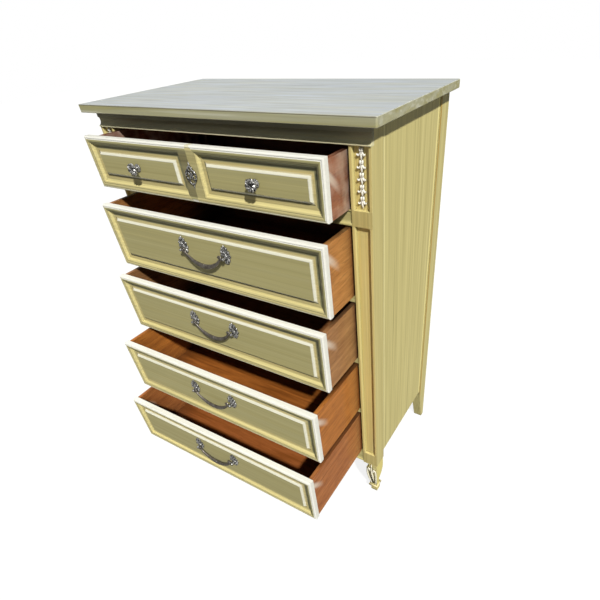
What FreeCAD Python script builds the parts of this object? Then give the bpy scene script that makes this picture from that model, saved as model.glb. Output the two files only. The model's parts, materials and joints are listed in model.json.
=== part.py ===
import FreeCAD, Part
import math
import os

Vec = FreeCAD.Vector

# All sizes are in millimetres. X runs across the front with 0 at its middle, the front faces -Y,
# and Z is the height above the floor.

# The case
case_width = 872.0
case_depth = 460.0
front_foot_height = 151.0
lower_drawers = 4
lower_opening_height = 190.0
divider_height = 21.0
divider_ease = 2.5
waist_rail_height = 38.0
top_opening_height = 135.0
cornice_height = 39.0
top_thickness = 20.0
top_side_overhang = 26.0
top_front_overhang = 26.0
top_corner_radius = 4.0
top_edge_bevel = 1.0

# Posts, panels and rails
front_post_width = 54.0
front_post_depth = 55.0
post_panel_margin = 7.0
post_panel_bevel = 1.5
post_panel_depth = 7.5
rear_post_width = 40.0
rear_post_depth = 60.0
rear_leg_width = 33.0
rear_leg_depth = 20.0
side_panel_lift = 32.0
side_panel_thickness = 12.0
side_panel_recess = 2.5
back_panel_thickness = 6.0
back_panel_margin = 10.0
rail_setback = 3.0
rail_depth = 60.0
bottom_rail_lift = 6.0
bottom_rail_height = 58.0
moulded_fillet_height = 4.0
moulded_groove_height = 2.5
moulded_fillet_stand = 1.5
lip_roll_share = 0.4
lip_hollow_share = 0.3
moulded_lip_height = 5.5
moulded_slope_height = 6.0
top_rail_depth = 35.0
rear_rail_depth = 20.0
cornice_let_in = 12.0
cornice_projection = 3.0
cornice_bead_height = 3.5
cornice_hollow_height = 19.0
cornice_hollow_depth = 6.0
cornice_quirk_height = 1.5
cornice_fascia_setback = 2.0
runner_width = 32.0
guide_width = 16.0
guide_clearance = 0.7
guide_height = 15.0

# Carved front feet
foot_inset = 2.0
foot_body_width = 42.0
foot_body_depth = 52.0
foot_pad_width = 24.0
foot_neck_width = 25.0
foot_neck_height = 38.0
foot_waist_depth = 18.0
foot_waist_height = 58.0
foot_shoulder_width = 32.0
foot_scroll_height = 124.0
foot_shoulder_height = 133.0
foot_knee_width = 35.0
foot_knee_height = 84.0
foot_heel_height = 104.0
foot_curve_share = 0.12
foot_heel_share = 0.27
foot_collar_width = 31.0
foot_collar_base = 20.0
foot_collar_height = 10.0
foot_collar_bevel = 4.0

# Drawers: how far each is pulled out, from the top one down
drawer_pull_outs = [96.0, 124.0, 164.0, 243.0, 305.0]
drawer_depth = 430.0
front_thickness = 18.0
front_side_clearance = 2.0
front_edge_clearance = 1.5
running_clearance = 0.3
side_inset = 3.5
side_thickness = 12.0
top_side_drop = 7.0
lower_side_drop = 2.5
bottom_thickness = 6.0
bottom_lift = 9.0
bottom_groove_depth = 5.0
drawer_back_thickness = 12.0
drawer_back_drop = 6.0

# Moulding round each drawer front and round its raised field
edge_band_width = 13.0
edge_round = 4.5
edge_bead_depth = 0.9
edge_quirk_width = 0.6
edge_quirk_depth = 0.8
edge_bead_share = 0.22
ogee_width = 11.5
ogee_crown_share = 0.35
ogee_bow_share = 0.35
panel_recess_depth = 9.0
panel_recess_width = 13.5
field_bevel_width = 4.0
field_depth = 2.4
field_fillet = 0.8
stile_half_width = 25.5

# Bail pulls of the lower drawers
pull_centres = 152.0
pull_rise = 13.0
pivot_standoff = 13.0
pull_post_radius = 4.5
pull_post_beyond_pivot = 5.0
plate_height = 50.0
plate_width = 36.0
plate_thickness = 3.0
plate_rise = 10.0
plate_lobes = 11
plate_lobe_reach = 1.5
plate_lobe_share = 0.25
plate_dome_radius = 10.0
plate_dome_height = 3.5
bail_sag = 34.0
bail_middle_radius = 5.3
bail_end_radius = 2.8
bail_sections = 7
knuckle_radius = 4.6
knuckle_length = 7.0
pin_radius = 2.0
pin_clearance = 0.06
pin_length = 7.5
knuckle_gap = 0.3

# Knobs and keyhole plate of the top drawer
knob_radius = 16.5
knob_projection = 24.0
knob_head_depth = 9.0
knob_stem_radius = 5.0
knob_foot_radius = 10.0
knob_foot_depth = 2.5
# The knob's head from its rim in: radius, how far out, and how much each run bows
knob_shares = [(1, 0.3, 0.3), (0.6, 1, 0), (0, 1, 0)]
keyplate_height = 62.0
keyplate_width = 36.0
keyplate_thickness = 2.5
keyplate_hole = 5.0
keyplate_boss_radius = 6.5
keyplate_boss_height = 2.5
keyplate_hole_x = 10.0
keyplate_hole_z = 6.2
# Right half of the plate from its foot up: across, up, and how much each run bows
keyplate_shares = [
    (0, -1, 0.2),
    (0.26, -0.8, -0.2),
    (0.5, -0.62, 0.2),
    (1, -0.05, 0.2),
    (0.42, 0.5, -0.2),
    (0.2, 0.74, 0.2),
    (0, 1, 0),
]

# Hanging husks on the upper posts
husk_count = 5
husk_top_gap = 3.5
husk_foot_gap = 3.0
husk_lap = 3.5
husk_width = 20.0
husk_thickness = 7.0
# Right half of a husk from its tip up: across, up, and how much each run bows
husk_shares = [
    (0, -1, 0.2),
    (0.28, -0.76, 0),
    (0.2, -0.6, -0.2),
    (1, -0.56, 0),
    (0.9, -0.47, -0.2),
    (0.22, -0.34, 0),
    (0.6, -0.14, 0.25),
    (0.34, 0, 0),
    (0, -0.06, 0),
]

# One overrun for every cut
overrun = 2.0

# The bow of a quarter circle, as a share of half its chord
quarter_share = math.sqrt(2) - 1
full_turn = 360

# Heights and places that follow from those sizes
side_panel_base = front_foot_height + side_panel_lift
bottom_rail_base = front_foot_height + bottom_rail_lift
first_opening_base = bottom_rail_base + bottom_rail_height
divider_step = lower_opening_height + divider_height
waist_base = first_opening_base + lower_drawers * divider_step - divider_height
top_opening_base = waist_base + waist_rail_height
cornice_base = top_opening_base + top_opening_height
case_top = cornice_base + cornice_height
drawer_openings = [top_opening_base]
for place in range(lower_drawers):
    drawer_openings.append(waist_base - lower_opening_height - place * divider_step)
half_width = case_width / 2
half_depth = case_depth / 2
cornice_back = -half_depth + cornice_let_in
opening_half_width = half_width - front_post_width
post_back = -half_depth + front_post_depth
rear_post_front = half_depth - rear_post_depth
rail_face = -half_depth + rail_setback
rail_back = rail_face + rail_depth
back_panel_front = half_depth - back_panel_thickness
rear_rail_front = back_panel_front - rear_rail_depth
front_half_width = opening_half_width - front_side_clearance
side_outer = front_half_width - side_inset
side_inner = side_outer - side_thickness
panel_ring_width = ogee_width + panel_recess_width + field_bevel_width
husk_run = top_opening_height - husk_top_gap - husk_foot_gap
husk_pitch = (husk_run - husk_lap) / husk_count
husk_length = husk_pitch + husk_lap


def block(x0, x1, y0, y1, z0, z1):
    """A board between two opposite corners."""
    return Part.makeBox(x1 - x0, y1 - y0, z1 - z0, Vec(x0, y0, z0))


def outline(points, place):
    """A closed wire through (a, b, bulge) points; a bulge bows the run that leaves its point to
    the right of its heading, by that share of half its length."""
    edges = []
    for (a0, b0, bulge), (a1, b1, _) in zip(points, points[1:] + points[:1]):
        if bulge == 0:
            edges.append(Part.makeLine(place(a0, b0), place(a1, b1)))
            continue
        middle = place((a0 + a1 + bulge * (b1 - b0)) / 2, (b0 + b1 - bulge * (a1 - a0)) / 2)
        edges.append(Part.Arc(place(a0, b0), middle, place(a1, b1)).toShape())
    return Part.Wire(edges)


def both_sides(points):
    """A symmetric outline from its right-hand points, which run from bottom centre to top centre."""
    turns = list(zip(points[:0:-1], points[-2::-1]))
    return points[:-1] + [(-a, b, bulge) for (a, b, _), (_, _, bulge) in turns]


def along_x(points, x0, x1):
    """A moulding of (y, z, bulge) section run from x0 to x1."""
    section = outline(points, lambda y, z: Vec(x0, y, z))
    return Part.Face(section).extrude(Vec(x1 - x0, 0, 0))


def rectangle(x0, x1, z0, z1, y):
    corners = [Vec(x0, y, z0), Vec(x1, y, z0), Vec(x1, y, z1), Vec(x0, y, z1), Vec(x0, y, z0)]
    return Part.makePolygon(corners)


def sunk_pocket(x0, x1, z0, z1, face):
    """The cut for a sunk panel with bevelled borders, which widens past the face by the overrun."""
    spread = post_panel_bevel * overrun / post_panel_depth
    mouth = rectangle(x0 - spread, x1 + spread, z0 - spread, z1 + spread, face - overrun)
    inset = post_panel_bevel
    floor = rectangle(x0 + inset, x1 - inset, z0 + inset, z1 - inset, face + post_panel_depth)
    return Part.makeLoft([mouth, floor], True, True)


def mitred_ring(x0, x1, z0, z1, face, points):
    """A moulding mitred round a rectangle; its points are (inward, back from the face, bulge)."""
    middle = (x0 + x1) / 2
    turns = [(middle, z0), (x1, z0), (x1, z1), (x0, z1), (x0, z0), (middle, z0)]
    path = Part.makePolygon([Vec(x, face, z) for x, z in turns])
    section = outline(points, lambda inward, back: Vec(middle, face + back, z0 + inward))
    return path.makePipeShell([section], True, False, 1)


def mirrored(shape):
    return shape.mirror(Vec(0, 0, 0), Vec(1, 0, 0))


def save(node, shape):
    shape.exportStep("parts/" + node + ".step")


def save_pair(name, right_shape):
    """The right-hand piece and its mirror image, each in its own node."""
    save("right_" + name, right_shape)
    save("left_" + name, mirrored(right_shape))


def table_top():
    """One board with eased corners and edges, which oversails the front and the sides."""
    reach = half_width + top_side_overhang
    front = -half_depth - top_front_overhang
    board = block(-reach, reach, front, half_depth, case_top, case_top + top_thickness)
    upright = [e for e in board.Edges if abs(e.tangentAt(e.FirstParameter).z) > 1 / 2]
    board = board.makeFillet(top_corner_radius, upright)
    rims = [e for e in board.Edges if abs(e.tangentAt(e.FirstParameter).z) < 1 / 2]
    return board.makeChamfer(top_edge_bevel, rims)


def cornice_moulding():
    """The board under the top, let into the posts: a fascia over a hollow that ends in a bead."""
    bead_face = -half_depth - cornice_projection + cornice_bead_height / 2
    bead_top = cornice_base + cornice_bead_height
    hollow_top = bead_top + cornice_hollow_height
    fascia_base = hollow_top + cornice_quirk_height
    fascia_face = -half_depth + cornice_fascia_setback
    section = [
        (cornice_back, cornice_base, 0),
        (bead_face, cornice_base, -1),
        (bead_face, bead_top, quarter_share),
        (bead_face + cornice_hollow_depth, hollow_top, 0),
        (fascia_face, fascia_base, 0),
        (fascia_face, case_top, 0),
        (cornice_back, case_top, 0),
    ]
    return along_x(section, -half_width, half_width)


def front_post():
    """The right front post, with a long sunk panel, a plain block at the waist and a short panel."""
    inner = opening_half_width
    post = block(inner, half_width, -half_depth, post_back, front_foot_height, case_top)
    x0 = inner + post_panel_margin
    x1 = half_width - post_panel_margin
    lower_base = first_opening_base - post_panel_margin
    post = post.cut(sunk_pocket(x0, x1, lower_base, waist_base, -half_depth))
    post = post.cut(sunk_pocket(x0, x1, top_opening_base, cornice_base, -half_depth))
    seat = block(inner - overrun, half_width + overrun, -half_depth - overrun, cornice_back,
                 cornice_base, case_top + overrun)
    return post.cut(seat)


def rear_post():
    """The right rear post: square above, tapered below to a plain leg, rebated for the back."""
    inner = half_width - rear_post_width
    above = block(inner, half_width, rear_post_front, half_depth, side_panel_base, case_top)

    def level(width, depth, z):
        x0, y0 = half_width - width, half_depth - depth
        corners = [Vec(x0, y0, z), Vec(half_width, y0, z), Vec(half_width, half_depth, z)]
        return Part.makePolygon(corners + [Vec(x0, half_depth, z), corners[0]])

    leg_top = level(rear_post_width, rear_post_depth, side_panel_base)
    leg = Part.makeLoft([level(rear_leg_width, rear_leg_depth, 0), leg_top], True, True)
    rebate = block(inner - overrun, half_width - back_panel_margin, back_panel_front,
                   half_depth + overrun, side_panel_base, case_top + overrun)
    return above.fuse(leg).removeSplitter().cut(rebate)


def side_panel():
    """The right side panel, set back a little between the two posts."""
    outer = half_width - side_panel_recess
    return block(outer - side_panel_thickness, outer, post_back, rear_post_front,
                 side_panel_base, case_top)


def back_panel():
    """A thin sheet let into the rear posts."""
    reach = half_width - back_panel_margin
    return block(-reach, reach, back_panel_front, half_depth, side_panel_base, case_top)


def moulded_rail(base, top):
    """A rail with a small fillet and groove along its top and a sloped lip along its foot."""
    nose = -half_depth
    lip_top = base + moulded_lip_height
    slope_top = lip_top + moulded_slope_height
    groove_top = top - moulded_fillet_height
    groove_base = groove_top - moulded_groove_height
    section = [
        (rail_back, base, 0),
        (nose, base, -lip_roll_share),
        (nose, lip_top, lip_hollow_share),
        (rail_face, slope_top, 0),
        (rail_face, groove_base, 1),
        (rail_face, groove_top, 0),
        (rail_face - moulded_fillet_stand, groove_top, -lip_hollow_share),
        (rail_face - moulded_fillet_stand, top, 0),
        (rail_back, top, 0),
    ]
    return along_x(section, -opening_half_width, opening_half_width)


def divider_rail(base):
    """A thin rail between two lower drawers, its front edges softly rounded."""
    ease = divider_ease
    top = base + divider_height
    section = [
        (rail_back, base, 0),
        (rail_face + ease, base, -quarter_share),
        (rail_face, base + ease, 0),
        (rail_face, top - ease, -quarter_share),
        (rail_face + ease, top, 0),
        (rail_back, top, 0),
    ]
    return along_x(section, -opening_half_width, opening_half_width)


def top_front_rail():
    """The hidden rail behind the cornice, which the top is screwed to."""
    return block(-opening_half_width, opening_half_width, cornice_back,
                 cornice_back + top_rail_depth, cornice_base, case_top)


def rear_rail(base, top):
    """A rail between the rear posts, against the back panel."""
    reach = half_width - rear_post_width
    return block(-reach, reach, rear_rail_front, back_panel_front, base, top)


def runner(top):
    """The right runner of one drawer, let in between the front rail and the rear rail."""
    outer = side_outer + guide_clearance
    return block(outer - runner_width, outer + guide_width, rail_back, rear_rail_front,
                 top - divider_height, top)


def guide(top):
    """The right guide strip, glued along the runner beside the drawer."""
    inner = side_outer + guide_clearance
    return block(inner, inner + guide_width, rail_back, rear_rail_front, top, top + guide_height)


def foot_silhouette(profile, place, thickness):
    """One view of the foot: plumb outside, and cut inside to its profile, a collar and a pad."""
    collar_top = foot_collar_base + foot_collar_height
    points = [(0, 0, 0), (0, front_foot_height, 0)] + profile + [
        (foot_collar_width, collar_top - foot_collar_bevel, 0),
        (foot_collar_width, foot_collar_base, 0),
        (foot_pad_width, foot_collar_base, 0),
        (foot_pad_width, 0, 0),
    ]
    return Part.Face(outline(points, place)).extrude(thickness)


def front_foot():
    """The right carved foot: a scrolled front view crossed with a deep, hooked side view."""
    corner_x = half_width - foot_inset
    corner_y = -half_depth + foot_inset
    collar_top = foot_collar_base + foot_collar_height
    front_profile = [
        (foot_shoulder_width, front_foot_height, 0),
        (foot_shoulder_width, foot_shoulder_height, 0),
        (foot_body_width, foot_scroll_height, -foot_curve_share),
        (foot_knee_width, foot_knee_height, foot_curve_share),
        (foot_neck_width, foot_neck_height, 0),
        (foot_neck_width, collar_top, 0),
    ]
    side_profile = [
        (foot_body_depth, front_foot_height, 0),
        (foot_body_depth, foot_heel_height, -foot_heel_share),
        (foot_waist_depth, foot_waist_height, 0),
        (foot_waist_depth, collar_top, 0),
    ]
    across = foot_silhouette(front_profile, lambda a, z: Vec(corner_x - a, corner_y, z),
                             Vec(0, foot_body_depth, 0))
    along = foot_silhouette(side_profile, lambda a, z: Vec(corner_x, corner_y + a, z),
                            Vec(-foot_body_width, 0, 0))
    return across.common(along).removeSplitter()


def husk(centre_x, top, seat):
    """One carved husk: two round lobes over a neck, two side tips and a long middle petal."""
    half = husk_width / 2
    right = [(x * half, z * husk_length, bow) for x, z, bow in husk_shares]
    wire = outline(both_sides(right), lambda a, b: Vec(centre_x + a, seat, top + b))
    return Part.Face(wire).extrude(Vec(0, -husk_thickness, 0))


def husk_drop():
    """The right string of five husks, in the sunk panel over the waist."""
    centre_x = half_width - front_post_width / 2
    seat = -half_depth + post_panel_depth
    first = cornice_base - husk_top_gap
    string = husk(centre_x, first, seat)
    for number in range(1, husk_count):
        string = string.fuse(husk(centre_x, first - number * husk_pitch, seat))
    return string.removeSplitter()


def edge_section():
    """The outer band of a drawer front: a quarter round, a quirk and a low bead."""
    bead_start = edge_round + 2 * edge_quirk_width
    quirk = edge_bead_depth + edge_quirk_depth
    return [
        (0, front_thickness, 0),
        (0, edge_round, quarter_share),
        (edge_round, edge_bead_depth, 0),
        (edge_round + edge_quirk_width, quirk, 0),
        (bead_start, edge_bead_depth, edge_bead_share),
        (edge_band_width, edge_bead_depth, 0),
        (edge_band_width, front_thickness, 0),
    ]


def panel_section():
    """From the band inward: an ogee down to the sunk flat, then the bevel up to the raised field."""
    quirk = edge_bead_depth + edge_quirk_depth
    crown = ogee_width / 2
    crown_depth = quirk + (panel_recess_depth - quirk) * ogee_crown_share
    flat_end = ogee_width + panel_recess_width
    return [
        (0, front_thickness, 0),
        (0, quirk, ogee_bow_share),
        (crown, crown_depth, -ogee_bow_share),
        (ogee_width, panel_recess_depth, 0),
        (flat_end, panel_recess_depth, 0),
        (panel_ring_width, field_depth + field_fillet, 0),
        (panel_ring_width, front_thickness, 0),
    ]


def framed_field(x0, x1, z0, z1, face):
    """One moulded panel that fills a window in the drawer front."""
    ring = mitred_ring(x0, x1, z0, z1, face, panel_section())
    w = panel_ring_width
    field = block(x0 + w, x1 - w, face + field_depth, face + front_thickness, z0 + w, z1 - w)
    return ring.fuse(field)


def bottom_groove(face, z):
    """The slot that takes the drawer bottom, cut along the back of the front and both sides."""
    reach = side_inner + bottom_groove_depth
    start = face + front_thickness - bottom_groove_depth
    return block(-reach, reach, start, face + drawer_depth + overrun, z, z + bottom_thickness)


def drawer_front(face, base, top, box_base, windows):
    """The moulded front; windows gives the X span of each raised field."""
    half = front_half_width
    front = mitred_ring(-half, half, base, top, face, edge_section())
    low, high = base + edge_band_width, top - edge_band_width
    for x0, x1 in windows:
        front = front.fuse(framed_field(x0, x1, low, high, face))
    if len(windows) > 1:
        stile = block(-stile_half_width, stile_half_width, face + edge_bead_depth,
                      face + front_thickness, low, high)
        front = front.fuse(stile)
    return front.removeSplitter().cut(bottom_groove(face, box_base + bottom_lift))


def drawer_side(face, base, top):
    side = block(side_inner, side_outer, face + front_thickness, face + drawer_depth, base, top)
    return side.cut(bottom_groove(face, base + bottom_lift))


def drawer_bottom(face, base):
    """A thin panel slid into the grooves from behind, under the drawer back."""
    z = base + bottom_lift
    reach = side_inner + bottom_groove_depth
    start = face + front_thickness - bottom_groove_depth
    return block(-reach, reach, start, face + drawer_depth, z, z + bottom_thickness)


def drawer_back(face, base, top):
    z = base + bottom_lift + bottom_thickness
    end = face + drawer_depth
    return block(-side_inner, side_inner, end - drawer_back_thickness, end, z, top)


def turned(points, centre_x, seat, z):
    """A solid turned about a line that stands out of a drawer front, from (radius, out, bow)."""
    wire = outline(points, lambda radius, out: Vec(centre_x + radius, seat - out, z))
    return Part.Face(wire).revolve(Vec(centre_x, seat, z), Vec(0, 1, 0), full_turn)


def knob(centre_x, seat, z):
    """A cast round knob on a waisted stem and a small foot."""
    head_base = knob_projection - knob_head_depth
    stem = [
        (0, 0, 0),
        (knob_foot_radius, 0, 0),
        (knob_foot_radius, knob_foot_depth, 0),
        (knob_stem_radius, 2 * knob_foot_depth, 0),
        (knob_stem_radius, head_base, 0),
    ]
    head = [(r * knob_radius, head_base + out * knob_head_depth, bow) for r, out, bow in knob_shares]
    return turned(stem + head, centre_x, seat, z)


def keyplate(seat, z):
    """A pierced oval keyhole plate with a slender finial above and a short one below."""
    tall, wide = keyplate_height / 2, keyplate_width / 2
    right = [(x * wide, y * tall, bow) for x, y, bow in keyplate_shares]
    wire = outline(both_sides(right), lambda a, b: Vec(a, seat, z + b))
    plate = Part.Face(wire).extrude(Vec(0, -keyplate_thickness, 0))
    through = keyplate_thickness + 2 * overrun
    for side in (-1, 1):
        for level in (-1, 1):
            start = Vec(side * keyplate_hole_x, seat + overrun, z + level * keyplate_hole_z)
            plate = plate.cut(Part.makeCylinder(keyplate_hole / 2, through, start, Vec(0, -1, 0)))
    boss = [
        (0, 0, 0),
        (keyplate_boss_radius, 0, 0),
        (keyplate_boss_radius, keyplate_thickness, quarter_share),
        (0, keyplate_thickness + keyplate_boss_height, 0),
    ]
    return plate.fuse(turned(boss, 0, seat, z)).removeSplitter()


def pull_plate(centre_x, seat, pivot_z):
    """A shell-edged cast plate with a domed middle and the post that the bail hangs in."""
    z = pivot_z + plate_rise
    points = []
    for lobe in range(plate_lobes):
        angle = math.pi / 2 + 2 * math.pi * lobe / plate_lobes
        a = (plate_width / 2 - plate_lobe_reach) * math.cos(angle)
        b = (plate_height / 2 - plate_lobe_reach) * math.sin(angle)
        points.append((a, b, plate_lobe_share))
    wire = outline(points, lambda a, b: Vec(centre_x + a, seat, z + b))
    shell = Part.Face(wire).extrude(Vec(0, -plate_thickness, 0))
    dome = [
        (0, 0, 0),
        (plate_dome_radius, 0, 0),
        (plate_dome_radius, plate_thickness, 0),
        (0, plate_thickness + plate_dome_height, 0),
    ]
    length = pivot_standoff + pull_post_beyond_pivot
    post = Part.makeCylinder(pull_post_radius, length, Vec(centre_x, seat, pivot_z), Vec(0, -1, 0))
    bore = Part.makeCylinder(pin_radius + pin_clearance, 2 * (pull_post_radius + overrun),
                             Vec(centre_x - pull_post_radius - overrun, seat - pivot_standoff, pivot_z),
                             Vec(1, 0, 0))
    return shell.fuse([turned(dome, centre_x, seat, z), post]).removeSplitter().cut(bore)


def bail(seat, pivot_z):
    """A hanging crescent that swells to its middle, with a pinned knuckle at each end."""
    pivot_y = seat - pivot_standoff
    face_x = pull_centres / 2 - pull_post_radius - knuckle_gap
    end_x = face_x - knuckle_length / 2
    radius = (end_x * end_x + bail_sag * bail_sag) / (2 * bail_sag)
    centre_z = pivot_z - bail_sag + radius
    sweep = math.asin(end_x / radius)
    swell = bail_middle_radius - bail_end_radius
    sections = []
    for step in range(bail_sections):
        angle = sweep * (2 * step / (bail_sections - 1) - 1)
        place = Vec(radius * math.sin(angle), pivot_y, centre_z - radius * math.cos(angle))
        heading = Vec(math.cos(angle), 0, math.sin(angle))
        thickness = bail_end_radius + swell * math.cos(angle / sweep * math.pi / 2)
        sections.append(Part.Wire(Part.makeCircle(thickness, place, heading)))
    shape = Part.makeLoft(sections, True, True)
    for side in (-1, 1):
        outward = Vec(side, 0, 0)
        start = Vec(side * (face_x - knuckle_length), pivot_y, pivot_z)
        knuckle = Part.makeCylinder(knuckle_radius, knuckle_length, start, outward)
        pin = Part.makeCylinder(pin_radius, knuckle_length + knuckle_gap + pin_length, start, outward)
        shape = shape.fuse([knuckle, pin])
    return shape.removeSplitter()


def build_case():
    save("table_top", table_top())
    save("cornice_moulding", cornice_moulding())
    save("top_front_rail", top_front_rail())
    save("top_rear_rail", rear_rail(cornice_base, case_top))
    save("back_panel", back_panel())
    save("waist_rail", moulded_rail(waist_base, top_opening_base))
    save("bottom_rail", moulded_rail(bottom_rail_base, first_opening_base))
    for number in range(1, lower_drawers):
        base = waist_base - number * divider_step
        save("divider_rail_%d" % number, divider_rail(base))
    save_pair("front_post", front_post())
    save_pair("rear_post", rear_post())
    save_pair("side_panel", side_panel())
    save_pair("front_foot", front_foot())
    save_pair("husk_drop", husk_drop())
    save_pair("runners", Part.makeCompound([runner(base) for base in drawer_openings]))
    save_pair("guides", Part.makeCompound([guide(base) for base in drawer_openings]))
    save("rear_rails", Part.makeCompound([rear_rail(base - divider_height, base)
                                          for base in drawer_openings]))


def build_drawer(number):
    """Every piece of one drawer, drawn where it stands pulled out."""
    name = "drawer_%d_" % number
    is_top = number == 1
    opening = drawer_openings[number - 1]
    height = top_opening_height if is_top else lower_opening_height
    face = -half_depth - drawer_pull_outs[number - 1]
    base, top = opening + front_edge_clearance, opening + height - front_edge_clearance
    box_base = opening + running_clearance
    box_top = top - (top_side_drop if is_top else lower_side_drop)
    edge = front_half_width - edge_band_width
    windows = [(-edge, -stile_half_width), (stile_half_width, edge)] if is_top else [(-edge, edge)]
    save(name + "front", drawer_front(face, base, top, box_base, windows))
    side = drawer_side(face, box_base, box_top)
    save(name + "right_side", side)
    save(name + "left_side", mirrored(side))
    save(name + "bottom", drawer_bottom(face, box_base))
    save(name + "back", drawer_back(face, box_base, box_top - drawer_back_drop))
    seat = face + field_depth
    middle = (base + top) / 2
    if is_top:
        knob_x = (stile_half_width + edge) / 2
        knobs = [knob(side * knob_x, seat, middle) for side in (-1, 1)]
        save(name + "knobs", Part.makeCompound(knobs))
        save("keyhole_plate", keyplate(face + edge_bead_depth, middle))
        return
    pivot_z = middle + pull_rise
    plates = [pull_plate(side * pull_centres / 2, seat, pivot_z) for side in (-1, 1)]
    save(name + "pull_plates", Part.makeCompound(plates))
    save(name + "bail", bail(seat, pivot_z))


os.makedirs("parts", exist_ok=True)
build_case()
for drawer_number in range(1, lower_drawers + 2):
    build_drawer(drawer_number)
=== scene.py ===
import json
import math

import bmesh
import bpy
from mathutils import Matrix, Vector


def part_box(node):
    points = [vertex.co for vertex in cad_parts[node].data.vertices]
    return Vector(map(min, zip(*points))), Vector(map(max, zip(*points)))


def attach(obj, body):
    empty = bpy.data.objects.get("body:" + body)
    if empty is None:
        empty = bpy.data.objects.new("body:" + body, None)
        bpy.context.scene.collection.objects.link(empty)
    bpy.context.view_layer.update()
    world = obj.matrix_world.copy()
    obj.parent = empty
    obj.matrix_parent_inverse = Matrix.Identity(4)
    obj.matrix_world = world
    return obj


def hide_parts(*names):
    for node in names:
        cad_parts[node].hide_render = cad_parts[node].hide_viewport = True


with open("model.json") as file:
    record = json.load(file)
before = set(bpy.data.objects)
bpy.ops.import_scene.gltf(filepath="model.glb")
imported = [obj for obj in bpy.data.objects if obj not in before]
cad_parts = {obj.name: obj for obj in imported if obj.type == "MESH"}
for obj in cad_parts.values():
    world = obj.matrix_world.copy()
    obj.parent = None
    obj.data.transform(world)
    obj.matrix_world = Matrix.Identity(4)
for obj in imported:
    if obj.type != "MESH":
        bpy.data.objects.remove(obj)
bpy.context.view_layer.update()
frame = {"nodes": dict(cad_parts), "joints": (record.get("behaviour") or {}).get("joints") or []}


# The view. The chest was photographed from above its right front corner, and the picture was then
# cut to a square, so the middle of the lens lies right of and below the middle of the picture.
picture_px = 600
focal_px = 423.67
lens_middle_px = (342.56, 360.68)
camera_place = Vector((0.8629, -1.0575, 1.4274))
camera_turn, camera_tilt, camera_roll = 0.5757, -0.6912, -0.0803
camera = bpy.data.objects.new("camera", bpy.data.cameras.new("camera"))
camera.data.sensor_width = 36
camera.data.lens = camera.data.sensor_width * focal_px / picture_px
camera.data.shift_x = (picture_px / 2 - lens_middle_px[0]) / picture_px
camera.data.shift_y = (lens_middle_px[1] - picture_px / 2) / picture_px
camera.data.clip_end = 60
heading = Matrix.Rotation(camera_turn, 4, "Z")
tilting = Matrix.Rotation(math.pi / 2 + camera_tilt, 4, "X")
rolling = Matrix.Rotation(camera_roll, 4, "Z")
camera.matrix_world = Matrix.Translation(camera_place) @ heading @ tilting @ rolling
bpy.context.scene.collection.objects.link(camera)
bpy.context.scene.camera = camera
bpy.context.scene.view_settings.view_transform = "Standard"


# The light. One distant lamp shines from above and to the right of the front, a softer one keeps the
# back from going dark, and the pale room fills the shade. The plain floor keeps the chest's shadow.
def place_node(tree, kind, inputs=(), **settings):
    """Adds a node, sets it up, and fills its inputs with values or with other nodes' outputs."""
    made = tree.nodes.new(kind)
    for key, value in settings.items():
        setattr(made, key, value)
    for key, value in dict(inputs).items():
        if isinstance(value, bpy.types.NodeSocket):
            tree.links.new(value, made.inputs[key])
        else:
            made.inputs[key].default_value = value
    return made


def shade(red, green, blue):
    """A colour in parts of 255, turned to the light that it stands for."""
    parts = [value / 255 for value in (red, green, blue)]
    light = [v / 12.92 if v <= 0.04045 else ((v + 0.055) / 1.055) ** 2.4 for v in parts]
    return (*light, 1)


def add_lamp(name, direction, spread, strength):
    """A lamp so far away that its light is even; the direction is the way to the lamp."""
    lamp = bpy.data.objects.new(name, bpy.data.lights.new(name, "SUN"))
    lamp.data.angle = math.radians(spread)
    lamp.data.energy = strength
    lamp.rotation_euler = Vector(direction).to_track_quat("Z", "Y").to_euler()
    bpy.context.scene.collection.objects.link(lamp)
    return lamp


key_lamp = add_lamp("key_lamp", (0.57, -0.44, 0.70), 3, 4.15)
key_lamp.data.color = (1.0, 0.98, 0.94)
back_lamp = add_lamp("back_fill_lamp", (-0.66, 0.66, 0.36), 25, 1.4)
back_lamp.visible_glossy = False

room_strength = 0.13
room = bpy.data.worlds.new("room")
bpy.context.scene.world = room
room.use_nodes = True
sky = room.node_tree
sky.nodes.clear()
rays = place_node(sky, "ShaderNodeLightPath")
fill = place_node(sky, "ShaderNodeBackground", {"Color": (0.93, 0.96, 1, 1), "Strength": room_strength})
white = place_node(sky, "ShaderNodeBackground", {"Color": (1, 1, 1, 1), "Strength": 1})
either = place_node(sky, "ShaderNodeMixShader", {0: rays.outputs["Is Camera Ray"], 1: fill.outputs[0],
                                                2: white.outputs[0]})
place_node(sky, "ShaderNodeOutputWorld", {"Surface": either.outputs[0]})

floor_half = 14
floor_grey = shade(120, 120, 118)
floor_glow = 0.84
floor_mesh = bpy.data.meshes.new("floor")
corners = [(x * floor_half, y * floor_half, 0) for x, y in ((-1, -1), (1, -1), (1, 1), (-1, 1))]
floor_mesh.from_pydata(corners, [], [(0, 1, 2, 3)])
floor = bpy.data.objects.new("floor", floor_mesh)
bpy.context.scene.collection.objects.link(floor)
floor_look = bpy.data.materials.new("pale_floor")
floor_look.use_nodes = True
tree = floor_look.node_tree
tree.nodes.clear()
rays = place_node(tree, "ShaderNodeLightPath")
dull = place_node(tree, "ShaderNodeBsdfDiffuse", {"Color": floor_grey})
glow = place_node(tree, "ShaderNodeEmission", {"Color": (1, 1, 1, 1), "Strength": floor_glow})
seen = place_node(tree, "ShaderNodeMixShader", {0: rays.outputs["Is Camera Ray"], 2: glow.outputs[0]})
lit = place_node(tree, "ShaderNodeAddShader", {0: dull.outputs[0], 1: seen.outputs[0]})
place_node(tree, "ShaderNodeOutputMaterial", {"Surface": lit.outputs[0]})
floor_mesh.materials.append(floor_look)


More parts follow.
